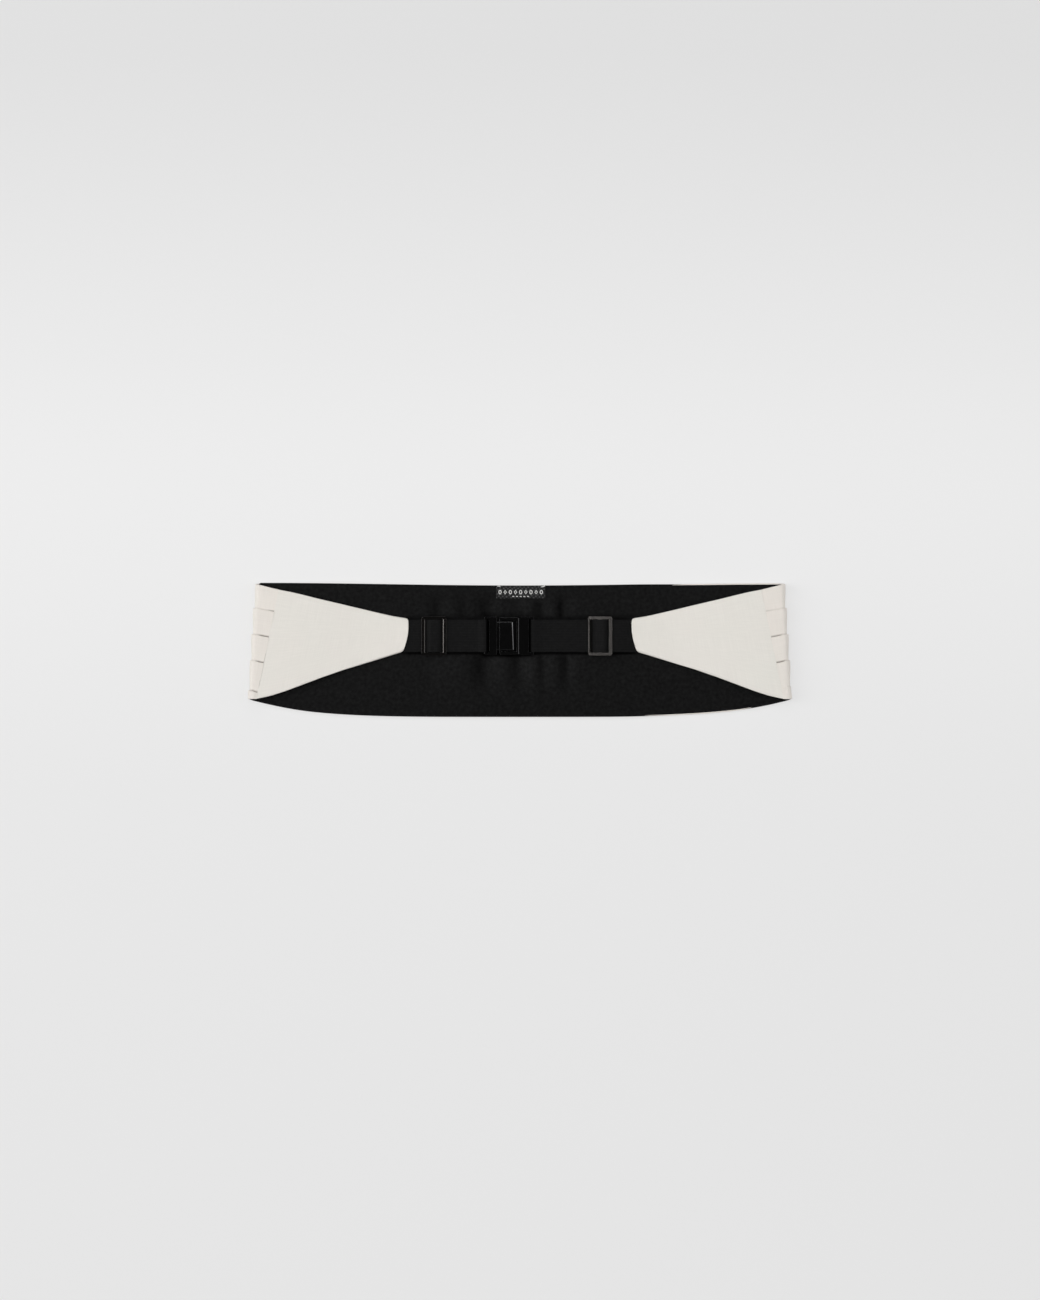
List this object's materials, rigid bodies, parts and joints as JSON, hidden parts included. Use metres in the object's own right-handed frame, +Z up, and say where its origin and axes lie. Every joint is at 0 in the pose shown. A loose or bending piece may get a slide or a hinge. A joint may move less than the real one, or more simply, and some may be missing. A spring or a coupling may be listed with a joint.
{
  "type": "cummerbund",
  "caption": "Pleated silk waist sash with tapered wings and an adjustable elastic strap, clasped at the back and laid flat with its pleats down.",
  "frame": {"origin": "middle of the floor plane under the whole part, as it lies flat with its pleats face down", "axes": "+X from the wearer's right to left seen from the lining side, +Y towards the upper edge with the label, +Z up from the table through the pleated front to the straps"},
  "size_m": [0.4986, 0.1228, 0.0137],
  "materials": {
    "silk": "ivory silk, matt satin face",
    "lining": "black satin lining, soft sheen",
    "label": "woven damask ribbon, dark grey",
    "elastic": "black woven elastic, matt and finely ribbed",
    "slide_metal": "black nickel plating, glossy",
    "clasp_metal": "black enamel, glossy"
  },
  "bodies": {
    "root": {"pleated_front": "silk", "lining": "lining", "label": "label", "wing_left": "silk", "wing_right": "silk", "strap_left": "elastic", "strap_right": "elastic", "slide_left": "slide_metal", "slide_right": "slide_metal", "clasp_hook": "clasp_metal", "clasp_ring": "clasp_metal"}
  },
  "joints": []
}
